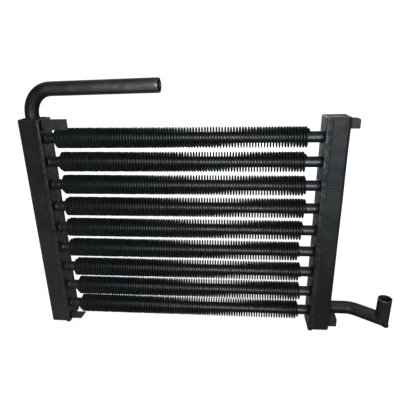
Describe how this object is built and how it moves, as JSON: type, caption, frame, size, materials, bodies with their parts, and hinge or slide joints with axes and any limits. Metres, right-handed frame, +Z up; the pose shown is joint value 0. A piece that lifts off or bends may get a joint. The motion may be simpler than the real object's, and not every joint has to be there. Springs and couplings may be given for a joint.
{
  "type": "oil cooler radiator",
  "caption": "Tube oil cooler: finned steel tubes between two upright header tanks, a bent inlet pipe on top, a mitred outlet stub at the side and flat bracket plates.",
  "frame": {"origin": "middle of the left header's foot, on the flat underside of its bottom cap", "axes": "+X from the left header to the right one, along the tubes; +Y to the back, away from the side the outlet stub leans to; +Z up along the headers"},
  "size_m": [0.5538, 0.0609, 0.3937],
  "materials": {
    "tank_paint": "satin black paint on folded steel",
    "plate_paint": "satin black paint on folded steel",
    "tube_paint": "satin black paint on steel tube",
    "fin_paint": "satin black paint on wound steel strip",
    "pipe_paint": "satin black paint on steel pipe",
    "bracket_paint": "satin black paint on steel plate"
  },
  "bodies": {
    "root": {"tube_1": "tube_paint", "tube_2": "tube_paint", "tube_3": "tube_paint", "tube_4": "tube_paint", "tube_5": "tube_paint", "tube_6": "tube_paint", "tube_7": "tube_paint", "tube_8": "tube_paint", "tube_9": "tube_paint", "fin_strip_1": "fin_paint", "fin_strip_2": "fin_paint", "fin_strip_3": "fin_paint", "fin_strip_4": "fin_paint", "fin_strip_5": "fin_paint", "fin_strip_6": "fin_paint", "fin_strip_7": "fin_paint", "fin_strip_8": "fin_paint", "fin_strip_9": "fin_paint", "left_tank": "tank_paint", "left_tube_plate": "plate_paint", "left_top_cap": "tank_paint", "left_top_bracket": "bracket_paint", "left_bottom_cap": "tank_paint", "left_bottom_bracket": "bracket_paint", "right_tank": "tank_paint", "right_tube_plate": "plate_paint", "right_top_cap": "tank_paint", "right_top_bracket": "bracket_paint", "right_bottom_cap": "tank_paint", "right_bottom_bracket": "bracket_paint", "inlet_pipe": "pipe_paint", "outlet_pipe": "pipe_paint", "outlet_stub": "pipe_paint"}
  },
  "joints": []
}
